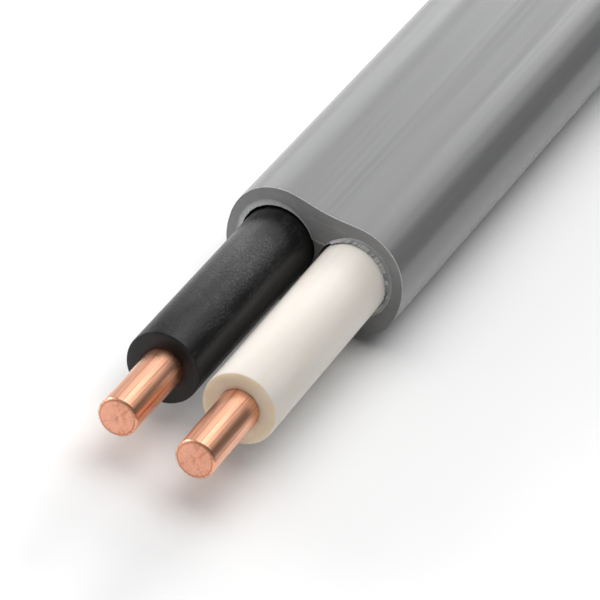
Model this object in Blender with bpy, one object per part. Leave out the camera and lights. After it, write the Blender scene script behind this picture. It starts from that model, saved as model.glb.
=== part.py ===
"""Coil of flat twin building cable: two solid copper conductors, each in its own insulation, in one flat grey sheath.

The cable is wound layer on layer with its wide side upright, each layer from side to side across the columns. As it
steps from place to place, one place stays open for part of a turn, so the coil has a little less than a full last
turn. The free end leaves the outer turn at the floor, twists a quarter turn to lie flat, and is stripped to show both
conductors. Metres, +Z up, origin at the bottom centre.
"""

import math

import bmesh
import bpy
from mathutils import Vector

MM = 0.001

# Conductors: 12 AWG solid copper in plain insulation
COPPER_RADIUS = 1.025 * MM
COPPER_CLEARANCE = 0.06 * MM
INSULATION_WALL = 0.815 * MM
INSULATION_GAP = 0.28 * MM
CORE_SIDES = 32
INSULATION_SIDES = 48
TIP_CHAMFER = 0.16 * MM

# Sheath: a flat oval of two lobes with a shallow waist, round two bores that run into each other
BORE_CLEARANCE = 0.27 * MM
TOP_WALL = 0.86 * MM
SIDE_WALL = 0.67 * MM
WAIST_DEPTH = 0.12 * MM
LOBE_FACETS = 12
BORE_SIDES = 40

# Stripped end, measured from the cut face of the sheath
INSULATION_SHOWN = 13.4 * MM
COPPER_SHOWN = 4.85 * MM
BORE_DEPTH = 30.0 * MM
END_CLEARANCE = 0.3 * MM

# Winding
CABLE_LENGTH = 7.62
COLUMNS = 3
LAYERS = 5
OPEN_TURN = 0.72
LAYER_GAP = 0.35 * MM
COLUMN_GAP = 0.8 * MM
GROOVE_DEPTH = 2.3 * MM
LOBE_FLAT = 2.4 * MM
LOBE_CORNER_STEPS = 2
COIL_STEP_DEG = 5.6

# Free end
FLAT_RUN = 46.0 * MM
TWIST_RUN = 102.0 * MM
EDGE_RUN = 42.0 * MM
TWIST_STEPS = 16
JOINT_GAP = 0.3 * MM

# Coil ties
TIE_COUNT = 3
TIE_FIRST_DEG = 30.0
TIE_WIDTH = 4.8 * MM
TIE_THICKNESS = 1.1 * MM
TIE_CLEARANCE = 0.3 * MM
TIE_CORNER = 2.6 * MM
TIE_CORNER_STEPS = 4
TIE_LIFT_REACH = 14.0 * MM
HEAD_WIDTH = 7.6 * MM
HEAD_LENGTH = 8.4 * MM
HEAD_THICKNESS = 5.0 * MM
TAIL_SHOWN = 0.9 * MM

# What follows from them
INSULATION_BORE = COPPER_RADIUS + COPPER_CLEARANCE
INSULATION_RADIUS = INSULATION_BORE + INSULATION_WALL
CONDUCTOR_SPACING = 2 * INSULATION_RADIUS + INSULATION_GAP
BORE_RADIUS = INSULATION_RADIUS + BORE_CLEARANCE
LOBE_RADIUS = BORE_RADIUS + TOP_WALL
HALF_WIDTH = CONDUCTOR_SPACING / 2 + BORE_RADIUS + SIDE_WALL
LOBE_OFFSET = HALF_WIDTH - LOBE_RADIUS
THICKNESS = 2 * LOBE_RADIUS
WIDTH = 2 * HALF_WIDTH

LAYER_PITCH = THICKNESS + LAYER_GAP
COLUMN_PITCH = WIDTH + COLUMN_GAP
FREE_LENGTH = FLAT_RUN + TWIST_RUN + EDGE_RUN
TURNS = COLUMNS * LAYERS - OPEN_TURN
MEAN_RADIUS = (CABLE_LENGTH - FREE_LENGTH) / (2 * math.pi * TURNS)
OUTER_TURN_RADIUS = MEAN_RADIUS + LAYER_PITCH * (LAYERS - 1) / 2
INNER_RADIUS = OUTER_TURN_RADIUS - LAYER_PITCH * (LAYERS - 1) - THICKNESS / 2
OUTER_RADIUS = OUTER_TURN_RADIUS + THICKNESS / 2
COIL_HEIGHT = COLUMN_PITCH * (COLUMNS - 1) + WIDTH
COIL_CENTRE = Vector((OUTER_TURN_RADIUS, FREE_LENGTH, 0))
TIE_LIFT = TIE_THICKNESS + TIE_CLEARANCE


def clear_scene():
    for item in list(bpy.data.objects):
        bpy.data.objects.remove(item, do_unlink=True)


def make_material(name, colour, roughness, metallic=0.0):
    material = bpy.data.materials.new(name)
    material.use_nodes = True
    shader = material.node_tree.nodes["Principled BSDF"]
    shader.inputs["Base Color"].default_value = (*colour, 1.0)
    shader.inputs["Roughness"].default_value = roughness
    shader.inputs["Metallic"].default_value = metallic
    return material


def make_object(name, points, faces, material, parent):
    """A closed mesh with its faces pointing out and its round faces shaded smooth."""
    mesh = bpy.data.meshes.new(name)
    mesh.from_pydata([tuple(p) for p in points], [], faces)
    work = bmesh.new()
    work.from_mesh(mesh)
    bmesh.ops.recalc_face_normals(work, faces=work.faces)
    work.to_mesh(mesh)
    work.free()
    mesh.shade_smooth()
    mesh.set_sharp_from_angle(angle=math.radians(35))
    mesh.materials.append(material)
    item = bpy.data.objects.new(name, mesh)
    bpy.context.scene.collection.objects.link(item)
    item.parent = parent
    return item


def make_cutter(name, points, faces, parent):
    item = make_object(name, points, faces, None, parent)
    item.hide_render = True
    item.display_type = "WIRE"
    return item


def add_boolean(item, other, operation):
    modifier = item.modifiers.new(other.name, "BOOLEAN")
    modifier.operation = operation
    modifier.solver = "EXACT"
    modifier.object = other


def arc(centre, radius, start, end, steps):
    """Points on an arc about (centre, 0), with angles in radians."""
    turns = [start + (end - start) * i / steps for i in range(steps + 1)]
    return [(centre + radius * math.cos(a), radius * math.sin(a)) for a in turns]


def sheath_outline():
    """Width and thickness coordinates of the sheath's outside, anticlockwise."""
    right = arc(LOBE_OFFSET, LOBE_RADIUS, -math.pi / 2, math.pi / 2, LOBE_FACETS)
    left = arc(-LOBE_OFFSET, LOBE_RADIUS, math.pi / 2, 3 * math.pi / 2, LOBE_FACETS)
    waist = LOBE_RADIUS - WAIST_DEPTH
    quarter = LOBE_RADIUS - WAIST_DEPTH / 2
    top = [(LOBE_OFFSET / 2, quarter), (0, waist), (-LOBE_OFFSET / 2, quarter)]
    bottom = [(-x, -y) for x, y in top]
    return right + top + left + bottom


def loft(rings):
    """Points and faces of a solid skinned over rings of equal count, with a flat face at each end."""
    count = len(rings[0])
    points = [p for ring in rings for p in ring]
    faces = [list(range(count))]
    for i in range(len(rings) - 1):
        for j in range(count):
            k = (j + 1) % count
            faces.append([i * count + j, i * count + k, (i + 1) * count + k, (i + 1) * count + j])
    faces.append([(len(rings) - 1) * count + j for j in range(count)])
    return points, faces


def circle_ring(x, y, z, radius, sides):
    """A ring about an axis along Y. It starts half a side round, so that rings of one count have parallel sides."""
    turns = [2 * math.pi * (i + 0.5) / sides for i in range(sides)]
    return [Vector((x + radius * math.cos(a), y, z + radius * math.sin(a))) for a in turns]


def section_at(along, height, twist, outline):
    """The outline placed square to the free end at a distance along it, turned by the twist."""
    across = Vector((math.cos(twist), 0, math.sin(twist)))
    up = Vector((-math.sin(twist), 0, math.cos(twist)))
    centre = Vector((0, along, height))
    return [centre + across * u + up * v for u, v in outline]


def smooth_step(share):
    share = min(max(share, 0.0), 1.0)
    return share * share * (3 - 2 * share)


def twist_at(along):
    return math.pi / 2 * smooth_step((along - FLAT_RUN) / TWIST_RUN)


def height_at(twist):
    """The height of the cable's centre where it rests on the floor with this twist."""
    return LOBE_RADIUS + LOBE_OFFSET * math.sin(twist)


def make_free_end(material, parent):
    """The sheath's free end, from its cut face at Y = 0 to the outer turn, with the bores open at the cut face."""
    stations = [0.0, FLAT_RUN]
    stations += [FLAT_RUN + TWIST_RUN * (i + 1) / TWIST_STEPS for i in range(TWIST_STEPS)]
    stations += [FREE_LENGTH - JOINT_GAP]
    outline = sheath_outline()
    rings = [section_at(y, height_at(twist_at(y)), twist_at(y), outline) for y in stations]
    sheath = make_object("sheath_free_end", *loft(rings), material, parent)
    for name, side in (("black_bore", -1), ("white_bore", 1)):
        x = side * CONDUCTOR_SPACING / 2
        ends = [circle_ring(x, y, LOBE_RADIUS, BORE_RADIUS, BORE_SIDES) for y in (-BORE_DEPTH, BORE_DEPTH)]
        add_boolean(sheath, make_cutter(name, *loft(ends), parent), "DIFFERENCE")
    return sheath


def make_insulation(name, side, material, parent):
    """One insulation tube, from its cut end to near the bottom of its bore."""
    x = side * CONDUCTOR_SPACING / 2
    ends = (-INSULATION_SHOWN, BORE_DEPTH - END_CLEARANCE)
    walls = [(ends[0], INSULATION_RADIUS), (ends[1], INSULATION_RADIUS)]
    walls += [(ends[1], INSULATION_BORE), (ends[0], INSULATION_BORE)]
    rings = [circle_ring(x, y, LOBE_RADIUS, radius, INSULATION_SIDES) for y, radius in walls]
    points = [p for ring in rings for p in ring]
    faces = []
    for i in range(len(rings)):
        following = (i + 1) % len(rings)
        for j in range(INSULATION_SIDES):
            k = (j + 1) % INSULATION_SIDES
            faces.append(
                [
                    i * INSULATION_SIDES + j,
                    i * INSULATION_SIDES + k,
                    following * INSULATION_SIDES + k,
                    following * INSULATION_SIDES + j,
                ]
            )
    return make_object(name, points, faces, material, parent)


def make_conductor(name, side, material, parent):
    """One solid copper wire with a small chamfer at its cut tip."""
    x = side * CONDUCTOR_SPACING / 2
    tip = -INSULATION_SHOWN - COPPER_SHOWN
    turned = [
        (tip, COPPER_RADIUS - TIP_CHAMFER),
        (tip + TIP_CHAMFER, COPPER_RADIUS),
        (BORE_DEPTH - END_CLEARANCE, COPPER_RADIUS),
    ]
    rings = [circle_ring(x, y, LOBE_RADIUS, radius, CORE_SIDES) for y, radius in turned]
    return make_object(name, *loft(rings), material, parent)


def coil_profile():
    """Radius and height of the winding's outline, anticlockwise, with a groove between turns that lie side by side."""
    flat = LOBE_FLAT / 2
    shoulder = LOBE_RADIUS - flat
    radii = [OUTER_TURN_RADIUS - LAYER_PITCH * i for i in reversed(range(LAYERS))]
    middles = [WIDTH / 2 + COLUMN_PITCH * i for i in range(COLUMNS)]
    corner = arc(flat, shoulder, 0, math.pi / 2, LOBE_CORNER_STEPS)

    def end(turn_radii, height, inwards):
        """The turns' lobes along one end of the winding. inwards is +1 where the lobes point down."""
        way = 1 if turn_radii[0] < turn_radii[-1] else -1
        points = []
        for i, r in enumerate(turn_radii):
            points += [(r - way * x, height + inwards * (shoulder - z)) for x, z in corner]
            points += [(r + way * x, height + inwards * (shoulder - z)) for x, z in reversed(corner)]
            if i < len(turn_radii) - 1:
                points.append((r + way * LAYER_PITCH / 2, height + inwards * GROOVE_DEPTH))
        return points

    def side(heights, radius, inwards):
        """The grooves between columns along the winding's inside or outside, where the turns' flat sides end."""
        way = 1 if heights[0] < heights[-1] else -1
        reach = HALF_WIDTH - shoulder
        points = []
        for z, following in zip(heights, heights[1:]):
            points.append((radius, z + way * reach))
            points.append((radius + inwards * GROOVE_DEPTH, (z + following) / 2))
            points.append((radius, following - way * reach))
        return points

    return (
        end(radii, 0.0, 1)
        + side(middles, OUTER_RADIUS, -1)
        + end(radii[::-1], COIL_HEIGHT, -1)
        + side(middles[::-1], INNER_RADIUS, 1)
    )


def tie_angles():
    return [math.radians(TIE_FIRST_DEG + 360.0 * i / TIE_COUNT) for i in range(TIE_COUNT)]


def coil_stations():
    """Angles round the winding, with extra ones where the ties lift its lower turns off the floor."""
    held = math.asin((TIE_WIDTH / 2 + 2 * TIE_CLEARANCE) / INNER_RADIUS)
    reach = held + TIE_LIFT_REACH / MEAN_RADIUS
    offsets = [held, (held + reach) / 2, reach]
    angles = []
    ties = tie_angles()
    for i, tie in enumerate(ties):
        following = ties[(i + 1) % TIE_COUNT] + (2 * math.pi if i == TIE_COUNT - 1 else 0)
        free = following - tie - 2 * reach
        count = max(2, round(math.degrees(free) / COIL_STEP_DEG))
        angles += [tie - held] + [tie + offset for offset in offsets]
        angles += [tie + reach + free * (j + 1) / count for j in range(count)]
        angles.append(following - (held + reach) / 2)
    return angles, held, reach


def lift_at(angle, held, reach):
    """How far a tie lifts the lowest turns at this angle."""
    away = min(abs((angle - tie + math.pi) % (2 * math.pi) - math.pi) for tie in tie_angles())
    return TIE_LIFT * (1 - smooth_step((away - held) / (reach - held)))


def make_coil(material, parent):
    """The winding as one turned solid. A flat notch in its lowest outer turn is where the free end leaves it."""
    profile = coil_profile()
    angles, held, reach = coil_stations()
    count = len(profile)
    points, faces = [], []
    for angle in angles:
        lift = lift_at(angle, held, reach)
        for r, z in profile:
            raised = z + lift * (1 - z / COIL_HEIGHT)
            points.append(COIL_CENTRE + Vector((r * math.cos(angle), r * math.sin(angle), raised)))
    for i in range(len(angles)):
        following = (i + 1) % len(angles)
        for j in range(count):
            k = (j + 1) % count
            faces.append([i * count + j, i * count + k, following * count + k, following * count + j])
    coil = make_object("sheath_coil", points, faces, material, parent)
    low = Vector((-OUTER_RADIUS, FREE_LENGTH - 2 * EDGE_RUN, -WIDTH))
    high = Vector((THICKNESS / 2 + JOINT_GAP, FREE_LENGTH, WIDTH + JOINT_GAP))
    notch = make_cutter("free_end_notch", *block(low, high), parent)
    add_boolean(coil, notch, "DIFFERENCE")
    return coil


def block(low, high):
    """Points and faces of a box between two corners."""
    floor = [(low.x, low.y), (high.x, low.y), (high.x, high.y), (low.x, high.y)]
    return loft([[Vector((x, y, z)) for x, y in floor] for z in (low.z, high.z)])


def rounded_rectangle(low, high, corner):
    """Outline of a rectangle in radius and height with round corners, anticlockwise."""
    middles = [
        (high[0] - corner, high[1] - corner, 0),
        (low[0] + corner, high[1] - corner, 1),
        (low[0] + corner, low[1] + corner, 2),
        (high[0] - corner, low[1] + corner, 3),
    ]
    points = []
    for x, z, quarter in middles:
        for i in range(TIE_CORNER_STEPS + 1):
            a = math.pi / 2 * (quarter + i / TIE_CORNER_STEPS)
            points.append((x + corner * math.cos(a), z + corner * math.sin(a)))
    return points


def make_tie(name, angle, material, parent):
    """A nylon strap round the whole winding, with its head and cut tail on the outside."""
    low = (INNER_RADIUS - TIE_CLEARANCE, TIE_LIFT - TIE_CLEARANCE)
    high = (OUTER_RADIUS + TIE_CLEARANCE, COIL_HEIGHT + TIE_CLEARANCE)
    wrap = TIE_THICKNESS
    inner = rounded_rectangle(low, high, TIE_CORNER)
    outer_low = (low[0] - wrap, low[1] - wrap)
    outer_high = (high[0] + wrap, high[1] + wrap)
    outer = rounded_rectangle(outer_low, outer_high, TIE_CORNER + wrap)
    radial = Vector((math.cos(angle), math.sin(angle), 0))
    along = Vector((-math.sin(angle), math.cos(angle), 0))

    def place(r, side, z):
        return COIL_CENTRE + radial * r + along * side + Vector((0, 0, z))

    count = len(inner)
    half = TIE_WIDTH / 2
    loops = [(inner, -half), (outer, -half), (outer, half), (inner, half)]
    points = [place(r, side, z) for loop, side in loops for r, z in loop]
    faces = []
    for i in range(len(loops)):
        following = (i + 1) % len(loops)
        for j in range(count):
            k = (j + 1) % count
            faces.append([i * count + j, i * count + k, following * count + k, following * count + j])
    tie = make_object(name, points, faces, material, parent)
    inside = high[0] + wrap / 2
    outside = inside + HEAD_THICKNESS
    blocks = [
        ("head", inside, outside, HEAD_WIDTH, HEAD_LENGTH),
        ("tail", inside + wrap, outside + TAIL_SHOWN, TIE_WIDTH, wrap),
    ]
    for label, near, far, wide, tall in blocks:
        corners = [(near, -wide / 2), (far, -wide / 2), (far, wide / 2), (near, wide / 2)]
        heights = (COIL_HEIGHT / 2 - tall / 2, COIL_HEIGHT / 2 + tall / 2)
        rings = [[place(r, side, z) for r, side in corners] for z in heights]
        add_boolean(tie, make_cutter(f"{name}_{label}", *loft(rings), parent), "UNION")
    return tie


def set_origin(parent, solids):
    """Moves the whole object so that the origin is at the bottom centre of its box."""
    bpy.context.view_layer.update()
    graph = bpy.context.evaluated_depsgraph_get()
    corners = []
    for item in solids:
        shape = item.evaluated_get(graph)
        corners += [shape.matrix_world @ Vector(c) for c in shape.bound_box]
    low = Vector([min(c[i] for c in corners) for i in range(3)])
    high = Vector([max(c[i] for c in corners) for i in range(3)])
    parent.location = (-(low.x + high.x) / 2, -(low.y + high.y) / 2, -low.z)


def main():
    clear_scene()
    grey = make_material("grey_sheath", (0.31, 0.32, 0.33), 0.42)
    black = make_material("black_insulation", (0.028, 0.029, 0.030), 0.45)
    white = make_material("white_insulation", (0.86, 0.83, 0.77), 0.45)
    copper = make_material("copper", (0.85, 0.47, 0.33), 0.28, 1.0)
    nylon = make_material("black_nylon", (0.03, 0.03, 0.03), 0.4)

    parent = bpy.data.objects.new("cable", None)
    bpy.context.scene.collection.objects.link(parent)
    solids = [
        make_coil(grey, parent),
        make_free_end(grey, parent),
        make_insulation("black_insulation", -1, black, parent),
        make_insulation("white_insulation", 1, white, parent),
        make_conductor("copper_in_black", -1, copper, parent),
        make_conductor("copper_in_white", 1, copper, parent),
    ]
    for i, angle in enumerate(tie_angles()):
        solids.append(make_tie(f"coil_tie_{i + 1}", angle, nylon, parent))
    set_origin(parent, solids)


main()
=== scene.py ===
"""Coil of flat twin building cable with a stripped end: its finished surfaces, light and camera.

Lengths are in metres, and MM turns millimetres into metres. A strand's materials read its attribute "lay":
each point's place in the strand's own section and along it, in millimetres, as across, up and along.
"""

import math

import bmesh
import bpy
import numpy as np
from mathutils import Matrix, Vector, noise


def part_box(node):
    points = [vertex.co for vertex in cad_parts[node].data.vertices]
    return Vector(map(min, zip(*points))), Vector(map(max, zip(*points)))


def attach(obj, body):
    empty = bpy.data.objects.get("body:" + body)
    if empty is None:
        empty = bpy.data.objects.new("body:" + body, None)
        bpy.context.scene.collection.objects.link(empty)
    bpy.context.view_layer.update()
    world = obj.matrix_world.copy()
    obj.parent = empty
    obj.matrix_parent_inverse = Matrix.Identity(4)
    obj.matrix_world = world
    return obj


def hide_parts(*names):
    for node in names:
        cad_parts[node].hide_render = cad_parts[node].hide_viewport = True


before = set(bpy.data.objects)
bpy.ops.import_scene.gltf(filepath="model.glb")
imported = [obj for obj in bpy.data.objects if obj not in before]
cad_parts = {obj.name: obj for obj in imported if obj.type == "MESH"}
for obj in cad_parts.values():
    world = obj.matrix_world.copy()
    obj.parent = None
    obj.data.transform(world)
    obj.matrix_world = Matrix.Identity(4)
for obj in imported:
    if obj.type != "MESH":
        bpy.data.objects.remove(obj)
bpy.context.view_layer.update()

MM = 0.001

# Cable section
COPPER_RADIUS = 1.025 * MM
INSULATION_RADIUS = 1.9 * MM
INSULATION_BORE = 1.035 * MM
BORE_RADIUS = 1.98 * MM
BLACK_BORE = (-2.12 * MM, 0.07 * MM)
WHITE_BORE = (2.08 * MM, 0.26 * MM)
WHITE_AT_FACE = (2.09 * MM, 0.195 * MM)
LEDGE_HEIGHT = 1.12 * MM
LOBE_RADIUS = 3.03 * MM
LOBE_OFFSET = 1.85 * MM
LOBE_POWER = 2.2
FLAT_SHARE = 0.34
WAIST_DEPTH = 0.13 * MM
WAIST_REACH = 2.2 * MM
WIDTH = 2 * (LOBE_RADIUS + LOBE_OFFSET)
FACE_SIDES = 384
WINDING_SIDES = 64
STRAND_SIDES = 96

# Stripped conductors: place at the face and at the insulation's end, then where insulation and wire end
STRIPPED = {
    "black": ((-2.076 * MM, 0.049 * MM), (-2.02 * MM, 0.0), -13.23 * MM, -18.20 * MM),
    "white": (WHITE_AT_FACE, (2.19 * MM, 0.02 * MM), -13.55 * MM, -18.50 * MM),
}
BEND_RUN = 0.2 * MM

# Cut face: it slants, and a torn rim stands round the bores, highest beside the white one
SLANT = 0.075
SLANT_REACH = 5.0 * MM
BLACK_RIM = 0.27 * MM
WHITE_RIM = 0.20 * MM
LEDGE_LINE = 0.10 * MM
CRUMB = 0.05 * MM
RIM_STEPS = (0.0, 0.12, 0.3, 0.5, 0.7, 0.88, 1.0, 1.15, 1.4)
WEB_RECESS = 0.12 * MM
KNIT_FROM, KNIT_TO, KNIT_HEIGHT, KNIT_SLOPE = -0.85, 1.12, 2.29, 0.055

# The face's outer edge, from inside outwards: each ring's inset and height in millimetres, and how pale it
# is: a pale cut edge with a painted highlight, strongest at the top
OUTER_EDGE = ((0.05, 0.006, 0.3), (0.035, 0.02, 1.0), (0.012, 0.012, 1.0), (0.0, -0.02, 0.7))

# Degrees about a bore from its outer side where its rim starts to give way to the web's ledge, and has done
BLACK_LEDGE_FROM, WHITE_LEDGE_FROM, LEDGE_FULL = 60, 100, 135

# The collar torn up round the white bore. Each change has the degree where it starts and its width in degrees
COLLAR_LOW = 0.16 * MM
COLLAR_HIGH = 0.24 * MM
COLLAR_GAP = 0.004 * MM
COLLAR_FOOT = 0.3
COLLAR_STARTS = (-60.0, 25.0)
COLLAR_STEPS_UP = (2.0, 12.0)
COLLAR_SINKS = (0.0, 75.0)
COLLAR_ENDS = (134.0, 16.0)

# Route: the free end lies flat, twists onto its edge and joins the winding's outer turn
CABLE_LENGTH = 7.62
FLAT_RUN = 46.0 * MM
TWIST_RUN = 102.0 * MM
EDGE_RUN = 42.0 * MM
FREE_LENGTH = FLAT_RUN + TWIST_RUN + EDGE_RUN
BORE_DEPTH = 30.0 * MM

# Winding: columns side by side and layers on each other, wound to and fro from the inner end outwards
COLUMNS = 3
LAYERS = 5
LAYER_PITCH = 6.41 * MM
COLUMN_PITCH = 10.56 * MM
OUTER_TURN_RADIUS = 95.63 * MM
COIL_HEIGHT = COLUMN_PITCH * (COLUMNS - 1) + WIDTH
INNER_RADIUS = OUTER_TURN_RADIUS - LAYER_PITCH * (LAYERS - 1) - LOBE_RADIUS
OUTER_RADIUS = OUTER_TURN_RADIUS + LOBE_RADIUS
JOIN_DEG = 180.0
FIRST_SHIFT_DEG = 186.0
COLUMN_SHIFT_DEG = 60.0
LAYER_SHIFT_DEG = 45.0
AFTER_COLUMN_DEG = 26.0
AFTER_LAYER_DEG = 24.0
INNER_TAIL_DEG = 140.0
STATION_STEP = 6.2 * MM
STUB_LENGTH = 4.0 * MM

# Ties
TIE_DEGREES = (30.0, 150.0, 270.0)
TIE_WIDTH = 4.8 * MM
TIE_THICKNESS = 1.1 * MM
TIE_CLEARANCE = 0.3 * MM
TIE_CORNER = 2.6 * MM
TIE_LIFT = TIE_THICKNESS + TIE_CLEARANCE
TIE_HELD_DEG = math.degrees(math.asin((TIE_WIDTH / 2 + 2 * TIE_CLEARANCE) / INNER_RADIUS))
TIE_REACH_DEG = TIE_HELD_DEG + 9.69
RACK_WIDTH = 3.1 * MM
RACK_DEPTH = 0.28 * MM
TOOTH_PITCH = 1.0 * MM
HEAD_WIDTH = 7.6 * MM
HEAD_LENGTH = 8.4 * MM
HEAD_THICKNESS = 5.0 * MM
HEAD_START = OUTER_RADIUS + TIE_CLEARANCE + TIE_THICKNESS / 2
HEAD_ROUNDING = 0.35 * MM
SLOT_WIDTH = 5.3 * MM
SLOT_HEIGHT = 2.7 * MM
SLOT_DEPTH = 2.6 * MM
TAIL_SHOWN = 0.9 * MM
TAIL_ROUNDING = 0.12 * MM
PAWL_HEIGHT = 1.0 * MM
PAWL_ROUNDING = 0.15 * MM

FREE_LOW, FREE_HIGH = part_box("sheath_free_end")
FACE = Vector(((FREE_LOW.x + FREE_HIGH.x) / 2, FREE_LOW.y, LOBE_RADIUS))
COIL_CENTRE = Vector((FACE.x + OUTER_TURN_RADIUS, FACE.y + FREE_LENGTH, 0))

# Camera, from its angles and the point on the cable's mid height that it looks at
CAMERA_AZIMUTH = math.radians(15.0751)
CAMERA_ELEVATION = math.radians(34.1693)
CAMERA_ROLL = math.radians(16.6013)
CAMERA_DISTANCE = 271.78 * MM
CAMERA_VIEW = math.radians(6.0925)
AIM_FROM_FACE = Vector((0.793, -3.413, 0.0)) * MM

# Studio: each softbox's azimuth from +Y towards +X and its elevation in degrees, its width, height and watts
LIGHT_DISTANCE = 1.5
LIGHTS = {
    "overhead": (309, 82, 1.6, 1.6, 16.5),
    "high_right": (45, 62, 0.7, 0.7, 2.1),
    "back_low_left": (343, 6, 0.4, 0.3, 9.3),
    "back_low_left_wide": (336, 10, 1.0, 0.5, 3.2),
    "back": (358, 18, 0.4, 0.36, 10.0),
    "back_wide": (350, 32, 1.8, 0.7, 5.4),
    "left": (265, 17, 1.0, 0.5, 8.7),
    "left_back": (295, 15, 0.8, 0.5, 0.9),
    "front_left": (225, 30, 0.9, 0.7, 1.4),
}
STUDIO_GLOW = 0.11


class Nodes:
    """Adds nodes to one tree. Each call returns the new node's output socket."""

    def __init__(self, tree):
        self.tree = tree

    def feed(self, socket, value):
        if isinstance(value, bpy.types.NodeSocket):
            self.tree.links.new(value, socket)
        else:
            socket.default_value = value

    def add(self, kind, inputs=None, output=0, **settings):
        node = self.tree.nodes.new(kind)
        for name, value in settings.items():
            setattr(node, name, value)
        for key, value in (inputs or {}).items():
            self.feed(node.inputs[key], value)
        return node.outputs[output]

    def math(self, operation, *values):
        return self.add("ShaderNodeMath", dict(enumerate(values)), operation=operation)

    def vector(self, operation, *values):
        return self.add("ShaderNodeVectorMath", dict(enumerate(values)), operation=operation)

    def scaled(self, vector, factor):
        return self.add("ShaderNodeVectorMath", {0: vector, "Scale": factor}, operation="SCALE")

    def join(self, x, y, z):
        return self.add("ShaderNodeCombineXYZ", {0: x, 1: y, 2: z})

    def split(self, vector):
        return tuple(self.add("ShaderNodeSeparateXYZ", {0: vector}).node.outputs)

    def grade(self, value, low, high, to_low=0.0, to_high=1.0):
        """Turns the span from low to high into another one, and holds it at its ends."""
        inputs = {0: value, 1: low, 2: high, 3: to_low, 4: to_high}
        return self.add("ShaderNodeMapRange", inputs, interpolation_type="SMOOTHSTEP")

    def blend(self, share, first, second):
        inputs = {0: share, 6: first, 7: second}
        return self.add("ShaderNodeMix", inputs, 2, data_type="RGBA")

    def noise(self, where, scale, detail=2.0, roughness=0.5):
        inputs = {"Vector": where, "Scale": scale, "Detail": detail, "Roughness": roughness}
        return self.add("ShaderNodeTexNoise", inputs)

    def bump(self, height, distance, normal=None):
        inputs = {"Height": height, "Distance": distance}
        if normal is not None:
            inputs["Normal"] = normal
        return self.add("ShaderNodeBump", inputs)

    def surface(self, **values):
        """Feeds the material's shader. Each value is named for its socket, with _ for a space."""
        shader = self.tree.nodes["Principled BSDF"]
        for name, value in values.items():
            self.feed(shader.inputs[name.replace("_", " ")], value)

    def named(self, name, kind):
        return self.add("GeometryNodeInputNamedAttribute", {"Name": name}, data_type=kind)

    def keep(self, geometry, name, value, kind):
        inputs = {"Geometry": geometry, "Name": name, "Value": value}
        return self.add("GeometryNodeStoreNamedAttribute", inputs, data_type=kind, domain="POINT")

    def finish(self, geometry, material):
        """Ends a Geometry Nodes tree with plain meshes in their material."""
        solid = self.add("GeometryNodeRealizeInstances", {"Geometry": geometry})
        dressed = self.add("GeometryNodeSetMaterial", {"Geometry": solid, "Material": material})
        sink = self.tree.nodes.new("NodeGroupOutput")
        self.tree.links.new(dressed, sink.inputs[0])
        return self.tree


def new_tree(name, inputs):
    """A Geometry Nodes tree with named inputs, as its node helper and each input's socket by name."""
    tree = bpy.data.node_groups.new(name, "GeometryNodeTree")
    tree.interface.new_socket("Geometry", in_out="INPUT", socket_type="NodeSocketGeometry")
    for label, kind in inputs.items():
        tree.interface.new_socket(label, in_out="INPUT", socket_type="NodeSocket" + kind)
    tree.interface.new_socket("Geometry", in_out="OUTPUT", socket_type="NodeSocketGeometry")
    source = tree.nodes.new("NodeGroupInput")
    return Nodes(tree), {socket.name: socket for socket in source.outputs if socket.name}


def grow(item, tree, values):
    """Runs a tree on an object with its inputs' values by name, and leaves the result as its plain mesh."""
    modifier = item.modifiers.new(tree.name, "NODES")
    modifier.node_group = tree
    for socket in tree.interface.items_tree:
        if socket.in_out == "INPUT" and socket.name in values:
            modifier[socket.identifier] = values[socket.name]
    bake(item)


def bake(item):
    """Leaves what an object's modifiers make as its plain mesh, and takes them off."""
    bpy.context.view_layer.update()
    graph = bpy.context.evaluated_depsgraph_get()
    made = item.evaluated_get(graph)
    mesh = bpy.data.meshes.new_from_object(made, preserve_all_data_layers=True, depsgraph=graph)
    item.modifiers.clear()
    old = item.data
    item.data = mesh
    bpy.data.meshes.remove(old)


def new_material(name, **values):
    """A material and its tree's helper. values are set on the shader's own sockets."""
    material = bpy.data.materials.new(name)
    material.use_nodes = True
    nodes = Nodes(material.node_tree)
    nodes.surface(**values)
    return material, nodes


def rgb(red, green, blue):
    return (red, green, blue, 1.0)


def lay_of(nodes):
    return nodes.add("ShaderNodeAttribute", output="Vector", attribute_name="lay")


def drawn(nodes, across, along, detail=2.0, roughness=0.5):
    """A noise on the lay coordinates, squeezed so that it runs in lines along the strand."""
    where = nodes.vector("MULTIPLY", lay_of(nodes), (across, across, along))
    return nodes.noise(where, 1.0, detail, roughness)


def sheath_material():
    """Smooth grey PVC with faint lines from the die along it."""
    material, nodes = new_material("grey_sheath", IOR=1.5)
    broad = drawn(nodes, 0.5, 0.01)
    fine = drawn(nodes, 6.0, 0.04, 3.0, 0.6)
    shade = nodes.math("ADD", nodes.math("MULTIPLY", broad, 0.5), nodes.math("MULTIPLY", fine, 0.5))
    tone = nodes.grade(shade, 0.3, 0.7)
    nodes.surface(Base_Color=nodes.blend(tone, rgb(0.150, 0.151, 0.154), rgb(0.159, 0.160, 0.163)))
    nodes.surface(Roughness=nodes.grade(fine, 0.3, 0.7, 0.22, 0.26))
    grain = drawn(nodes, 10.0, 4.0)
    line = nodes.bump(fine, 0.0015 * MM)
    nodes.surface(Normal=nodes.bump(grain, 0.0018 * MM, line))
    return material


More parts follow.
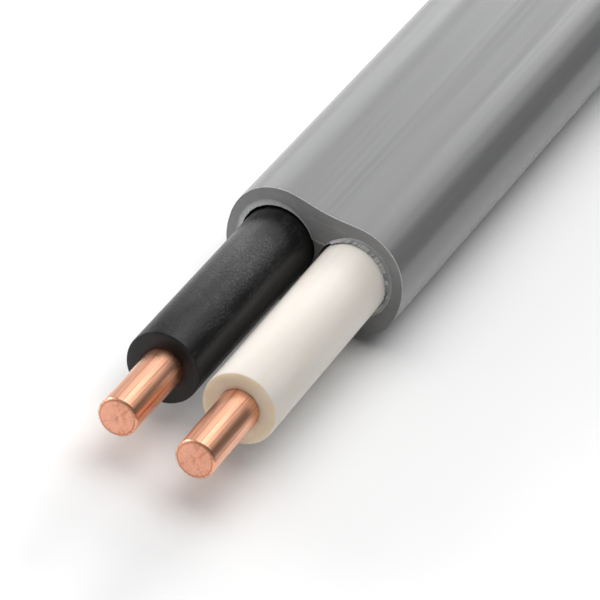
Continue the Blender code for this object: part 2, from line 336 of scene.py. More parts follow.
def sheath_cut_material():
    """The sheath where it was cut across: matt, with pale torn edges and the die's faint knit line."""
    material, nodes = new_material("grey_sheath_cut", Roughness=0.55, IOR=1.5)
    lay = lay_of(nodes)
    smear = nodes.noise(nodes.vector("MULTIPLY", lay, (0.8, 2.4, 1.0)), 1.0, 4.0, 0.6)
    grain = nodes.noise(lay, 9.0, 3.0, 0.6)
    plain = nodes.blend(nodes.grade(smear, 0.3, 0.7), rgb(0.285, 0.287, 0.290), rgb(0.330, 0.332, 0.336))
    across, up, _ = nodes.split(lay)
    knit_line = nodes.math("MULTIPLY_ADD", across, KNIT_SLOPE, KNIT_HEIGHT)
    beside = nodes.math("ABSOLUTE", nodes.math("SUBTRACT", up, knit_line))
    past_left = nodes.grade(across, KNIT_FROM - 0.1, KNIT_FROM + 0.1)
    past_right = nodes.grade(across, KNIT_TO - 0.1, KNIT_TO + 0.1, 1.0, 0.0)
    knit = nodes.math("MULTIPLY", nodes.grade(beside, 0.0, 0.07, 0.22, 0.0), past_left)
    burr_and_highlight = nodes.add("ShaderNodeAttribute", output="Fac", attribute_name="burr_and_highlight")
    torn = nodes.math("MULTIPLY", burr_and_highlight, nodes.grade(grain, 0.35, 0.6, 0.55, 1.0))
    pale = nodes.math("MAXIMUM", torn, nodes.math("MULTIPLY", knit, past_right))
    # Painted shade: the cut face's colour is darkened towards its lower right, down to 0.64 of its plain
    # tone.
    towards = {0: lay, 1: (0.5, -0.85, 0.0)}
    lower_right = nodes.add("ShaderNodeVectorMath", towards, "Value", operation="DOT_PRODUCT")
    with_painted_shade = nodes.scaled(plain, nodes.grade(lower_right, -2.5, 4.0, 1.0, 0.64))
    # The pale torn edges, the knit line and the outer edge's painted highlight are laid over the face with
    # its painted shade.
    worn_with_painted_light = nodes.blend(pale, with_painted_shade, rgb(0.60, 0.61, 0.62))
    nodes.surface(Base_Color=nodes.blend(nodes.grade(burr_and_highlight, 0.9, 1.4), worn_with_painted_light, rgb(0.46, 0.41, 0.33)))
    marks = nodes.bump(smear, 0.015 * MM)
    nodes.surface(Normal=nodes.bump(grain, 0.010 * MM, marks))
    return material


def black_material():
    """Black PVC with the mottled smears that the sheath leaves on it when it is pulled off."""
    material, nodes = new_material("black_insulation_skin", IOR=1.43)
    smear = drawn(nodes, 1.5, 0.30, 4.0, 0.65)
    speck = drawn(nodes, 9.0, 4.0, 3.0, 0.7)
    shade = nodes.math("MULTIPLY", nodes.grade(smear, 0.38, 0.66), nodes.grade(speck, 0.46, 0.62, 0.1, 1.0))
    nodes.surface(Base_Color=nodes.blend(shade, rgb(0.001, 0.001, 0.0011), rgb(0.020, 0.0203, 0.0206)))
    nodes.surface(Roughness=nodes.grade(shade, 0.0, 0.8, 0.30, 0.44))
    line = nodes.bump(drawn(nodes, 7.0, 0.12), 0.006 * MM)
    nodes.surface(Normal=nodes.bump(speck, 0.020 * MM, line))
    return material


def black_cut_material():
    material, nodes = new_material("black_insulation_cut", Roughness=0.42, IOR=1.48)
    grain = nodes.noise(lay_of(nodes), 6.0, 3.0, 0.6)
    nodes.surface(Base_Color=nodes.blend(grain, rgb(0.001, 0.001, 0.0011), rgb(0.003, 0.003, 0.0032)))
    nodes.surface(Normal=nodes.bump(grain, 0.010 * MM))
    return material


def white_material(name, deep, pale, roughness):
    material, nodes = new_material(
        name, Roughness=roughness, IOR=1.5, Subsurface_Weight=0.5, Subsurface_Scale=0.35 * MM,
        Subsurface_Radius=(1.0, 0.65, 0.4),
    )
    cloud = drawn(nodes, 0.8, 0.12, 3.0)
    grain = drawn(nodes, 8.0, 4.0)
    nodes.surface(Base_Color=nodes.blend(nodes.grade(cloud, 0.3, 0.7), deep, pale))
    nodes.surface(Normal=nodes.bump(grain, 0.004 * MM))
    return material


def copper_material():
    """Drawn copper under a thin clear film: fine die lines along the wire that keep its reflections whole."""
    material, nodes = new_material("drawn_copper", Metallic=1.0, Coat_Weight=0.7, Coat_Roughness=0.35)
    line = drawn(nodes, 9.0, 0.06, 4.0, 0.65)
    broad = drawn(nodes, 2.0, 0.18, 3.0, 0.55)
    scratch = drawn(nodes, 8.0, 0.12, 2.0, 0.55)
    plain = nodes.blend(nodes.grade(broad, 0.3, 0.7), rgb(0.88, 0.43, 0.26), rgb(0.93, 0.51, 0.34))
    scratched = nodes.grade(scratch, 0.56, 0.64, 0.0, 0.75)
    dulled = nodes.math("MAXIMUM", scratched, nodes.grade(line, 0.5, 0.7, 0.0, 0.6))
    nodes.surface(Base_Color=nodes.blend(dulled, plain, rgb(0.52, 0.19, 0.10)))
    nodes.surface(Roughness=nodes.grade(line, 0.3, 0.7, 0.30, 0.42))
    nodes.surface(Normal=nodes.bump(line, 0.006 * MM))
    return material


def copper_cut_material():
    """The sheared end of a wire: matt and pinkish, with many short scuffs that cross each other."""
    material, nodes = new_material("cut_copper", Metallic=1.0, Roughness=0.52)
    lay = lay_of(nodes)
    flat = nodes.vector("MULTIPLY", lay, (1.0, 1.0, 0.0))
    bent = nodes.vector("ADD", flat, nodes.add("ShaderNodeTexNoise", {"Vector": lay, "Scale": 1.3}, "Color"))
    cross = nodes.noise(nodes.vector("MULTIPLY", bent, (5.5, 1.7, 1.0)), 1.0, 3.0, 0.65)
    spread = nodes.scaled(nodes.vector("NORMALIZE", flat), 4.0)
    fanned = nodes.vector("ADD", spread, nodes.vector("MULTIPLY", flat, (0.5, 0.5, 0.0)))
    ray = nodes.noise(fanned, 1.0, 3.0, 0.6)
    grain = nodes.noise(lay, 8.0, 3.0, 0.6)
    scuff = nodes.math("MULTIPLY_ADD", cross, 0.55, nodes.math("MULTIPLY", ray, 0.45))
    shade = nodes.math("MULTIPLY", nodes.grade(scuff, 0.34, 0.54), nodes.grade(grain, 0.3, 0.7, 0.7, 1.0))
    plain = nodes.blend(shade, rgb(0.74, 0.31, 0.20), rgb(0.94, 0.51, 0.36))
    from_middle = nodes.add("ShaderNodeVectorMath", {0: flat}, "Value", operation="LENGTH")
    # Painted reflection: a dark reddish ring round the face's rim stands in for the dark reflection on its
    # rounded edge.
    painted_dark_rim = nodes.grade(from_middle, 0.82, 0.90, 0.0, 0.75)
    nodes.surface(Base_Color=nodes.blend(painted_dark_rim, plain, rgb(0.55, 0.20, 0.10)))
    marks = nodes.bump(scuff, 0.015 * MM)
    nodes.surface(Normal=nodes.bump(grain, 0.012 * MM, marks))
    return material


def nylon_material():
    """Moulded black nylon with a fine spark-eroded grain and a slightly uneven gloss."""
    material, nodes = new_material("black_nylon", IOR=1.53)
    where = nodes.add("ShaderNodeTexCoord", output="Object")
    cloud = nodes.noise(where, 350.0, 3.0)
    grain = nodes.noise(where, 9000.0, 2.0, 0.6)
    nodes.surface(Base_Color=nodes.blend(cloud, rgb(0.016, 0.016, 0.017), rgb(0.032, 0.032, 0.033)))
    nodes.surface(Roughness=nodes.grade(cloud, 0.3, 0.7, 0.33, 0.46))
    nodes.surface(Normal=nodes.bump(grain, 0.01 * MM))
    return material


def floor_material():
    white = rgb(0.93, 0.93, 0.93)
    return new_material("pale_floor", Base_Color=white, Roughness=0.9, Specular_IOR_Level=0.1)[0]


def new_object(name, data):
    item = bpy.data.objects.new(name, data)
    bpy.context.scene.collection.objects.link(item)
    return item


def new_piece(name, points, faces, materials, face_materials=None):
    """A mesh object with its place in its mesh. face_materials holds each face's material index."""
    mesh = bpy.data.meshes.new(name)
    mesh.from_pydata([tuple(p) for p in points], [], faces)
    for material in materials:
        mesh.materials.append(material)
    if face_materials is not None:
        mesh.polygons.foreach_set("material_index", face_materials)
    mesh.shade_smooth()
    return new_object(name, mesh)


def band(low, high, count):
    """Faces between two closed rings of points, from the index where each ring starts."""
    return [(low + j, low + (j + 1) % count, high + (j + 1) % count, high + j) for j in range(count)]


def face_outwards(item, edge=0.0):
    """Points the faces outwards, and rounds the edges where edge says by how much."""
    work = bmesh.new()
    work.from_mesh(item.data)
    bmesh.ops.recalc_face_normals(work, faces=work.faces)
    if edge:
        bmesh.ops.bevel(work, geom=work.edges, offset=edge, segments=3, profile=0.5, affect="EDGES")
    work.to_mesh(item.data)
    work.free()


def finish_piece(item, slot, *nodes, sharp=40.0):
    """Points the faces outwards, sharpens the edges, and hands the piece to the frame."""
    face_outwards(item)
    item.data.shade_smooth()
    item.data.set_sharp_from_angle(angle=math.radians(sharp))
    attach(item, "root")
    if nodes:
        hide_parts(*nodes)
    return item


def store(item, name, values, kind="FLOAT"):
    attribute = item.data.attributes.new(name, kind, "POINT")
    field = "vector" if kind == "FLOAT_VECTOR" else "value"
    attribute.data.foreach_set(field, np.asarray(values, np.float32).ravel())


def ease(value, start, width):
    """Climbs smoothly from 0 at the start to 1 a width further on."""
    share = np.clip((value - start) / width, 0.0, 1.0)
    return share * share * (3 - 2 * share)


def sheath_section(count):
    """Across and up coordinates of the sheath's outside, anticlockwise from its +across side."""
    angle = 2 * np.pi * np.arange(count) / count
    reach = np.abs(np.cos(angle))
    bend = np.clip((reach - FLAT_SHARE) / (1 - FLAT_SHARE), 0, 1)
    across = np.sign(np.cos(angle)) * (LOBE_OFFSET * np.minimum(1, reach / FLAT_SHARE) + LOBE_RADIUS * bend)
    up = LOBE_RADIUS * (1 - bend**LOBE_POWER) ** (1 / LOBE_POWER)
    middle = np.clip(np.abs(across) / WAIST_REACH, 0, 1)
    up -= WAIST_DEPTH * np.cos(np.pi / 2 * middle) ** 2
    return across, np.sign(np.round(np.sin(angle), 9)) * up


def twist_at(along):
    return math.pi / 2 * float(ease(along, FLAT_RUN, TWIST_RUN))


def free_height(along):
    """How high the middle of the free end lies: its section just touches the floor, also where it twists."""
    across, up = sheath_section(WINDING_SIDES)
    twist = twist_at(along)
    return -float((across * math.sin(twist) + up * math.cos(twist)).min())


def free_place(along, across, up):
    """Points of a section placed on the free end at a distance from its cut face."""
    twist = twist_at(along)
    wide = np.array((math.cos(twist), 0, math.sin(twist)))
    thick = np.array((-math.sin(twist), 0, math.cos(twist)))
    centre = np.array((FACE.x, FACE.y + along, free_height(along)))
    return centre + np.outer(across, wide) + np.outer(up, thick)


def turn_order():
    """Layer and column of each turn from the inner end outwards, to and fro across each layer."""
    order = []
    for layer in range(LAYERS):
        columns = range(COLUMNS - 1, -1, -1) if layer % 2 == 0 else range(COLUMNS)
        order += [(layer, column) for column in columns]
    return order


def shift_windows(order):
    """Where round the coil each turn starts to move to the next one's place, and over how many degrees."""
    windows = {}
    start = FIRST_SHIFT_DEG
    turn = len(order) - 2
    while turn >= 0:
        if order[turn][0] == order[turn + 1][0]:
            for step in range(COLUMNS - 1):
                windows[turn - step] = (start, COLUMN_SHIFT_DEG)
            turn -= COLUMNS - 1
            start += AFTER_COLUMN_DEG
        else:
            windows[turn] = (start, LAYER_SHIFT_DEG)
            turn -= 1
            start += AFTER_LAYER_DEG
    return windows


def tie_lift(degrees):
    """How far the ties lift the lowest turns at an angle."""
    away = np.min([np.abs((degrees - tie + 180) % 360 - 180) for tie in TIE_DEGREES], axis=0)
    return TIE_LIFT * (1 - ease(away, TIE_HELD_DEG, TIE_REACH_DEG - TIE_HELD_DEG))


def wound_line():
    """The winding's line from the join inwards: points, distance along it and how free each is to sway."""
    order = turn_order()
    windows = shift_windows(order)
    once_round = np.arange(JOIN_DEG + 360, JOIN_DEG, -0.5)
    degrees, layers, columns = [], [], []
    for turn in range(len(order) - 2, -1, -1):
        start, width = windows[turn]
        moved = ease(once_round, start, width)
        degrees.append(once_round)
        layers.append(order[turn][0] + (order[turn + 1][0] - order[turn][0]) * moved)
        columns.append(order[turn][1] + (order[turn + 1][1] - order[turn][1]) * moved)
    tail = once_round[once_round > JOIN_DEG + 360 - INNER_TAIL_DEG]
    degrees.append(tail)
    layers.append(np.full(len(tail), order[0][0]))
    columns.append(np.full(len(tail), order[0][1]))
    degrees, layers, columns = (np.concatenate(v) for v in (degrees, layers, columns))

    radius = OUTER_TURN_RADIUS - (LAYERS - 1 - layers) * LAYER_PITCH
    low = columns * COLUMN_PITCH
    lift = tie_lift(degrees)
    height = WIDTH / 2 + low + lift * (1 - low / (COIL_HEIGHT - WIDTH))
    turned = np.radians(degrees)
    line = np.stack([radius * np.cos(turned), radius * np.sin(turned), height], 1) + np.array(COIL_CENTRE)
    gone = np.concatenate([[0], np.cumsum(np.linalg.norm(np.diff(line, axis=0), axis=1))])
    length = CABLE_LENGTH - FREE_LENGTH - STUB_LENGTH
    steps = np.linspace(0, length, round(length / STATION_STEP))
    steps = np.concatenate([[0, 0.1 * MM], steps[1:-1], [length - 0.1 * MM, length]])
    points = np.stack([np.interp(steps, gone, line[:, i]) for i in range(3)], 1)
    free = (1 - np.interp(steps, gone, lift) / TIE_LIFT) * ease(steps, 5 * MM, 60 * MM)
    free *= ease(length - steps, 5 * MM, 40 * MM)
    return points, steps, free


def cable_tree():
    """Sweeps the sheath's section along a line of points that carry their distance along and their sway."""
    nodes, given = new_tree(
        "sheath_sweep",
        {
            "Section Points": "Int", "Lobe Radius": "Float", "Lobe Offset": "Float", "Lobe Power": "Float",
            "Flat Share": "Float", "Waist Depth": "Float", "Waist Reach": "Float", "Sway Out": "Float",
            "Sway Up": "Float", "Sway Length": "Float", "Seed": "Float", "Material": "Material",
        },
    )
    count, radius, power = given["Section Points"], given["Lobe Radius"], given["Lobe Power"]
    circle = nodes.add("GeometryNodeCurvePrimitiveCircle", {"Resolution": count, "Radius": 1.0})
    turn = nodes.math("MULTIPLY", nodes.add("GeometryNodeInputIndex"), 2 * math.pi)
    turn = nodes.math("DIVIDE", turn, count)
    cosine, sine = nodes.math("COSINE", turn), nodes.math("SINE", turn)
    reach = nodes.math("ABSOLUTE", cosine)
    past_flat = nodes.math("SUBTRACT", reach, given["Flat Share"])
    bend = nodes.math("DIVIDE", past_flat, nodes.math("SUBTRACT", 1.0, given["Flat Share"]))
    bend = nodes.math("MAXIMUM", bend, 0.0)
    flat = nodes.math("MINIMUM", 1.0, nodes.math("DIVIDE", reach, given["Flat Share"]))
    flat = nodes.math("MULTIPLY", given["Lobe Offset"], flat)
    across = nodes.math("ADD", flat, nodes.math("MULTIPLY", radius, bend))
    inside = nodes.math("SUBTRACT", 1.0, nodes.math("POWER", bend, power))
    rise = nodes.math("POWER", nodes.math("MAXIMUM", inside, 0.0), nodes.math("DIVIDE", 1.0, power))
    middle = nodes.math("MINIMUM", 1.0, nodes.math("DIVIDE", across, given["Waist Reach"]))
    hollow = nodes.math("COSINE", nodes.math("MULTIPLY", middle, math.pi / 2))
    hollow = nodes.math("MULTIPLY", given["Waist Depth"], nodes.math("POWER", hollow, 2.0))
    up = nodes.math("SUBTRACT", nodes.math("MULTIPLY", radius, rise), hollow)
    side = nodes.math("SIGN", nodes.math("SNAP", cosine, 1e-6))
    top = nodes.math("SIGN", nodes.math("SNAP", nodes.math("ADD", sine, 5e-7), 1e-6))
    across, up = nodes.math("MULTIPLY", across, side), nodes.math("MULTIPLY", up, top)
    section = nodes.scaled(nodes.join(across, up, 0.0), 1 / MM)
    outline = nodes.keep(circle, "section", section, "FLOAT_VECTOR")
    across, up, _ = nodes.split(nodes.scaled(nodes.named("section", "FLOAT_VECTOR"), -MM))
    placed = nodes.join(up, across, 0.0)
    outline = nodes.add("GeometryNodeSetPosition", {"Geometry": outline, "Position": placed})

    curve = nodes.add("GeometryNodeMeshToCurve", {"Mesh": given["Geometry"]})
    curve = nodes.add("GeometryNodeSetCurveNormal", {"Curve": curve}, mode="Z_UP")
    beat = nodes.math("DIVIDE", nodes.named("along", "FLOAT"), given["Sway Length"])
    beat = nodes.math("ADD", beat, given["Seed"])
    sways = []
    for later in (0.0, 50.0):
        beat_inputs = {"W": nodes.math("ADD", beat, later), "Scale": 1.0, "Detail": 2.0}
        sways.append(nodes.add("ShaderNodeTexNoise", beat_inputs, noise_dimensions="1D"))
    outwards = nodes.math("MULTIPLY", nodes.grade(sways[0], 0.25, 0.75, -1.0, 1.0), given["Sway Out"])
    upwards = nodes.math("MULTIPLY", nodes.grade(sways[1], 0.3, 0.7), given["Sway Up"])
    free = nodes.named("free", "FLOAT")
    shift = nodes.scaled(nodes.add("GeometryNodeInputNormal"), nodes.math("MULTIPLY", outwards, free))
    shift = nodes.vector("ADD", shift, nodes.join(0.0, 0.0, nodes.math("MULTIPLY", upwards, free)))
    curve = nodes.add("GeometryNodeSetPosition", {"Geometry": curve, "Offset": shift})

    sweep = {"Curve": curve, "Profile Curve": outline, "Fill Caps": True}
    sheath = nodes.add("GeometryNodeCurveToMesh", sweep)
    travelled = nodes.math("DIVIDE", nodes.named("along", "FLOAT"), MM)
    lay = nodes.vector("ADD", nodes.named("section", "FLOAT_VECTOR"), nodes.join(0.0, 0.0, travelled))
    return nodes.finish(nodes.keep(sheath, "lay", lay, "FLOAT_VECTOR"), given["Material"])


def make_winding(skin):
    """The wound turns: the sheath's section swept along the whole line from the join to the inner end."""
    points, steps, free = wound_line()
    mesh = bpy.data.meshes.new("winding")
    mesh.from_pydata([tuple(p) for p in points], [(i, i + 1) for i in range(len(points) - 1)], [])
    item = new_object("winding", mesh)
    store(item, "along", steps + FREE_LENGTH)
    store(item, "free", free)
    values = {
        "Section Points": WINDING_SIDES, "Lobe Radius": LOBE_RADIUS, "Lobe Offset": LOBE_OFFSET,
        "Lobe Power": LOBE_POWER, "Flat Share": FLAT_SHARE, "Waist Depth": WAIST_DEPTH,
        "Waist Reach": WAIST_REACH, "Sway Out": 0.11 * MM, "Sway Up": 0.3 * MM, "Sway Length": 0.09,
        "Seed": 7.0, "Material": skin,
    }
    grow(item, cable_tree(), values)
    finish_piece(item, "sheath", "sheath_coil")
    return points


def bore_section(across, up):
    """The bores' joint outline, each point beside its partner on the outside, and its turn about its bore."""
    side = np.sign(np.round(across, 9))
    middle = np.where(side < 0, -BLACK_BORE[0], WHITE_BORE[0])
    rise = np.where(side < 0, BLACK_BORE[1], WHITE_BORE[1])
    turn = np.arctan2(up, np.abs(across) - middle)
    waist_turn = np.arctan2(LOBE_RADIUS - WAIST_DEPTH, -middle)
    ledge_turn = math.pi - np.arcsin((LEDGE_HEIGHT - np.sign(turn) * rise) / BORE_RADIUS)
    start = math.radians(55)
    late = np.clip((np.abs(turn) - start) / (waist_turn - start), 0, 1)
    turn = np.sign(turn) * (np.abs(turn) + (ledge_turn - waist_turn) * late)
    in_across = np.where(side < 0, -1, 1) * (middle + BORE_RADIUS * np.cos(turn))
    in_up = rise + BORE_RADIUS * np.sin(turn)
    for i in np.nonzero(side == 0)[0]:
        in_across[i] = (in_across[i - 1] + in_across[(i + 1) % len(side)]) / 2
    return in_across, in_up, turn


def wobble(x, y, z, scale):
    return noise.noise(Vector((x * scale, y * scale, z * scale)))


def collar_height(turn):
    """How far the collar stands out round the white bore, by the turn about it from its outer side up."""
    degrees = np.degrees(turn)
    height = COLLAR_LOW + (COLLAR_HIGH - COLLAR_LOW) * (1 - ease(degrees, *COLLAR_SINKS))
    height = height * (COLLAR_FOOT + (1 - COLLAR_FOOT) * ease(degrees, *COLLAR_STEPS_UP))
    return height * ease(degrees, *COLLAR_STARTS) * (1 - ease(degrees, *COLLAR_ENDS))


def make_cut_sheath(name, place, count, depths, stations, slant, skin, cut):
    """Sheath behind a cut face. Rings run from deep in the bores, over the face and along the outside."""
    across, up = sheath_section(count)
    in_across, in_up, turn = bore_section(across, up)
    run = np.hypot(across - in_across, up - in_up)
    away = np.stack([across - in_across, up - in_up]) / run
    rings, lays, burr_and_highlight_rings, on_face = [], [], [], []

    def add(along, x, y, proud=0.0, burr_and_highlight=0.0, is_face=False):
        """One ring. It leans with the cut, and points on the face can stand proud of it."""
        proud = proud + slant * x * max(0.0, 1 - along / SLANT_REACH)
        forward = (place(0.0, x, y) - place(1.0 * MM, x, y)) / MM
        rings.append(place(along, x, y) + forward * np.reshape(proud, (-1, 1)))
        lays.append(np.stack([x, y, along - proud], 1) / MM)
        burr_and_highlight_rings.append(np.full(count, burr_and_highlight))
        on_face.append(is_face)

    def on_rim(inset, proud, burr_and_highlight):
        add(0.0, in_across + away[0] * inset, in_up + away[1] * inset, proud, burr_and_highlight, True)

    rough = np.array([wobble(x, y, 0.0, 9000) for x, y in zip(in_across, in_up)])
    crumbs = np.array([wobble(x, y, 0.01, 3300) for x, y in zip(in_across, in_up)])
    lip = rough * 0.6 + crumbs * 0.4
    for depth in depths:
        add(depth, in_across, in_up)
    is_white = across > 0
    ledge_from = np.where(is_white, WHITE_LEDGE_FROM, BLACK_LEDGE_FROM)
    beside_web = ease(np.abs(np.degrees(turn)), ledge_from, LEDGE_FULL - ledge_from)
    wide = np.where(is_white, WHITE_RIM, BLACK_RIM) * (1 + 0.15 * crumbs)
    width = wide + (LEDGE_LINE - wide) * beside_web
    collar = collar_height(turn)
    height = np.where(is_white, collar * (1 + 0.7 * lip), CRUMB * (1 + lip) * (1 - beside_web))
    stands = np.where(is_white, np.clip((collar / COLLAR_LOW - 0.45) / 0.55, 0, 1), 0)
    shift = [at_face - bore for at_face, bore in zip(WHITE_AT_FACE, WHITE_BORE)]
    lean = BORE_RADIUS - INSULATION_RADIUS - shift[0] * np.cos(turn) - shift[1] * np.sin(turn) - COLLAR_GAP
    shed = 1.7 * ease(crumbs + 0.6 * rough, -0.04, 0.2)
    for share in RIM_STEPS:
        rest = max(0.0, 1 - share)
        torn = CRUMB * lip * (1 - beside_web) * max(0.0, 1 - share * 2)
        torn = torn * (1 - stands) - lean * stands * rest**3
        soft = np.interp(share, [0, 0.5, 0.85, 1.15], [1, 0.85, 0.5, 0])
        edged = np.interp(share, [0.3, 0.5, 0.7, 0.88, 1.0, 1.15], [0.8, 0.15, 0.15, 0.5, 0.4, 0])
        edged = (edged * shed if share < 0.4 else edged) * (1 - beside_web) + soft * beside_web
        on_rim(width * share + torn, height * rest, np.where(is_white, edged, soft))
    wave = np.array([wobble(x, y, 0.02, 420) for x, y in zip(across, up)])
    inner, outer = width * RIM_STEPS[-1], run - 0.08 * MM
    for share in np.linspace(0.06, 1.0, 14):
        dip = 0.03 * MM * wave * math.sin(math.pi * share)
        on_rim(inner + (outer - inner) * share, -dip, 0.0)
    # The outer edge stands further out and is paler towards the top: a pale cut edge with a painted highlight
    # on its upper side.
    upper = ease(up / LOBE_RADIUS, -0.6, 1.2)
    for inset, proud, pale in OUTER_EDGE:
        on_rim(run - inset * MM, proud * MM * (0.4 + 0.6 * upper), pale * (0.25 + 0.75 * upper))
    for along in stations:
        add(along, across, up)

    faces, indices = [list(range(count))], [0]
    for i in range(len(rings) - 1):
        faces += band(i * count, (i + 1) * count, count)
        indices += [1 if on_face[i] and on_face[i + 1] else 0] * count
    faces.append([(len(rings) - 1) * count + j for j in range(count)])
    indices.append(0)
    item = new_piece(name, np.concatenate(rings), faces, [skin, cut], indices)
    store(item, "burr_and_highlight", np.concatenate(burr_and_highlight_rings))
    store(item, "lay", np.concatenate(lays), "FLOAT_VECTOR")
    absorb(item, [make_web(place, depths[0], slant, cut)])
    return item


def make_web(place, depth, slant, cut):
    """The torn membrane between the bores. Its front lies behind the face, furthest back in its middle."""
    heights = np.linspace(-LEDGE_HEIGHT - 0.12 * MM, LEDGE_HEIGHT + 0.12 * MM, 45)
    radius = BORE_RADIUS + 0.01 * MM
    left = BLACK_BORE[0] + np.sqrt(radius**2 - (heights - BLACK_BORE[1]) ** 2)
    right = WHITE_BORE[0] - np.sqrt(radius**2 - (heights - WHITE_BORE[1]) ** 2)
    middle, half = (left + right) / 2, np.maximum((right - left) / 2, 0.035 * MM)
    across = np.concatenate([middle - half, (middle + half)[::-1]])
    up = np.concatenate([heights, heights[::-1]])
    low = 1 - np.clip((np.abs(up) / LEDGE_HEIGHT - 0.2) / 0.8, 0, 1) ** 2
    torn = np.array([wobble(x, y, 0.03, 5200) for x, y in zip(across, up)])
    recess = (0.03 + 0.03 * torn) * MM + WEB_RECESS * low - slant * across
    into = place(1.0 * MM, across, up) - place(0.0, across, up)
    front = place(0.0, across, up) + into / MM * recess[:, None]
    back = place(depth * 0.9, across, up)
    count = len(across)
    faces = [(i, i + 1, count - 2 - i, count - 1 - i) for i in range(count // 2 - 1)]
    faces += [tuple(count + corner for corner in face) for face in faces]
    faces += band(0, count, count)
    web = new_piece("web", np.concatenate([front, back]), faces, [cut, cut], [1] * len(faces))
    store(web, "burr_and_highlight", np.full(2 * count, 0.15))
    lay = np.stack([across, up, recess], 1) / MM
    store(web, "lay", np.concatenate([lay, lay + (0, 0, depth / MM)]), "FLOAT_VECTOR")
    return web


def make_free_end(skin, cut):
    depths = [BORE_DEPTH, 12 * MM, 4 * MM, 1.2 * MM, 0.5 * MM, 0.2 * MM, 0.1 * MM]
    stations = [0.05 * MM, 0.2 * MM, 0.6 * MM, 1.5 * MM] + list(np.arange(4, 46, 3) * MM)
    stations += list(np.linspace(FLAT_RUN, FLAT_RUN + TWIST_RUN, 48))
    stations += list(np.linspace(FREE_LENGTH - EDGE_RUN, FREE_LENGTH, 9)[1:])
    item = make_cut_sheath("sheath_end", free_place, FACE_SIDES, depths, stations, SLANT, skin, cut)
    return finish_piece(item, "sheath", "sheath_free_end")


def turned_strand(name, place, axis, profile, sides, materials, last_cut):
    """A solid turned about a conductor's axis: its place at the sheath's face, and its slope in front of it.

    profile holds along and radius, from the cut end inwards, and its steps up to last_cut are cut faces. It
    closes at both ends where its radius is 0, and is a tube otherwise.
    """
    at_face, slope = axis
    angle = 2 * np.pi * np.arange(sides) / sides
    points, lays, rows = [], [], []
    for along, radius in profile:
        rim = angle if radius else angle[:1]
        middle = np.array(at_face) + np.array(slope) * min(along, 0.0)
        across, up = radius * np.cos(rim), radius * np.sin(rim)
        rows.append(list(range(len(points), len(points) + len(rim))))
        points += list(place(along, middle[0] + across, middle[1] + up))
        lays += list(np.stack([across, up, np.full(len(rim), along)], 1) / MM)
    tube = profile[0][1] > 0
    faces, indices = [], []
    for i in range(len(rows) if tube else len(rows) - 1):
        low, high = rows[i], rows[(i + 1) % len(rows)]
        for j in range(sides):
            k = (j + 1) % sides
            if len(low) == 1:
                faces.append((low[0], high[k], high[j]))
            elif len(high) == 1:
                faces.append((low[j], low[k], high[0]))
            else:
                faces.append((low[j], low[k], high[k], high[j]))
            indices.append(1 if tube <= i <= last_cut else 0)
    item = new_piece(name, points, faces, materials, indices)
    store(item, "lay", lays, "FLOAT_VECTOR")
    return item


def make_insulation(name, place, axis, end, depth, materials, slot, *node):
    """An insulation tube from its cut end to a depth in its bore, with a ring where its axis bends."""
    skin, bore, bend = INSULATION_RADIUS, INSULATION_BORE, max(0.0, end + BEND_RUN)
    profile = [(end + 0.10 * MM, skin), (end + 0.035 * MM, skin - 0.025 * MM), (end, skin - 0.09 * MM)]
    profile += [(end - 0.005 * MM, skin - 0.3 * MM), (end, bore + 0.25 * MM)]
    profile += [(end + 0.01 * MM, bore + 0.04 * MM), (end + 0.03 * MM, bore)]
    profile += [(bend, bore), (depth, bore), (depth, skin), (bend, skin)]
    item = turned_strand(name, place, axis, profile, STRAND_SIDES, materials, 4)
    return finish_piece(item, slot, *node)


def make_conductor(name, place, axis, tip, depth, materials, *node):
    """A solid copper wire with a chamfered, sheared tip that has a small pit in its middle."""
    skin, bend = COPPER_RADIUS, max(0.0, tip + BEND_RUN)
    profile = [(tip + 0.05 * MM, 0.0), (tip + 0.035 * MM, 0.03 * MM), (tip + 0.002 * MM, 0.07 * MM)]
    profile += [(tip - 0.01 * MM, 0.4 * MM), (tip, skin - 0.11 * MM), (tip + 0.02 * MM, skin - 0.08 * MM)]
    profile += [(tip + 0.07 * MM, skin - 0.015 * MM), (tip + 0.12 * MM, skin)]
    profile += [(bend, skin), (depth, skin), (depth, 0.0)]
    item = turned_strand(name, place, axis, profile, STRAND_SIDES, materials, 3)
    return finish_piece(item, "copper", *node)


def make_inner_end(line, skins):
    """The cable's other end, cut square in the coil's bore, with both conductors flush with the sheath."""
    last, before = Vector(line[-1]), Vector(line[-2])
    forward = (last - before).normalized()
    outward = Vector((last.x - COIL_CENTRE.x, last.y - COIL_CENTRE.y, 0)).normalized()
    outward = (outward - forward * outward.dot(forward)).normalized()
    wide = forward.cross(outward)
    wide = wide if wide.z > 0 else -wide
    face = np.array(last + forward * STUB_LENGTH)

    def place(along, across, up):
        centre = face - np.array(forward) * along
        return centre + np.outer(across, np.array(wide)) + np.outer(up, np.array(outward))

    depths = [3.0 * MM, 1.2 * MM, 0.5 * MM, 0.2 * MM, 0.1 * MM]
    stations = [0.05 * MM, 0.2 * MM, 1.0 * MM, 2.5 * MM, STUB_LENGTH]
    sides = WINDING_SIDES * 2
    sheath = make_cut_sheath("inner_end_sheath", place, sides, depths, stations, 0.0, *skins["sheath"])
    finish_piece(sheath, "sheath")
    lead_depth = depths[0] - 0.2 * MM
    for colour, middle in (("black", BLACK_BORE), ("white", WHITE_AT_FACE)):
        axis = (middle, (0.0, 0.0))
        slot = f"{colour}_insulation"
        make_insulation(f"inner_end_{colour}", place, axis, 0.05 * MM, lead_depth, skins[colour], slot)
        make_conductor(f"inner_end_wire_in_{colour}", place, axis, 0.1 * MM, lead_depth, skins["copper"])


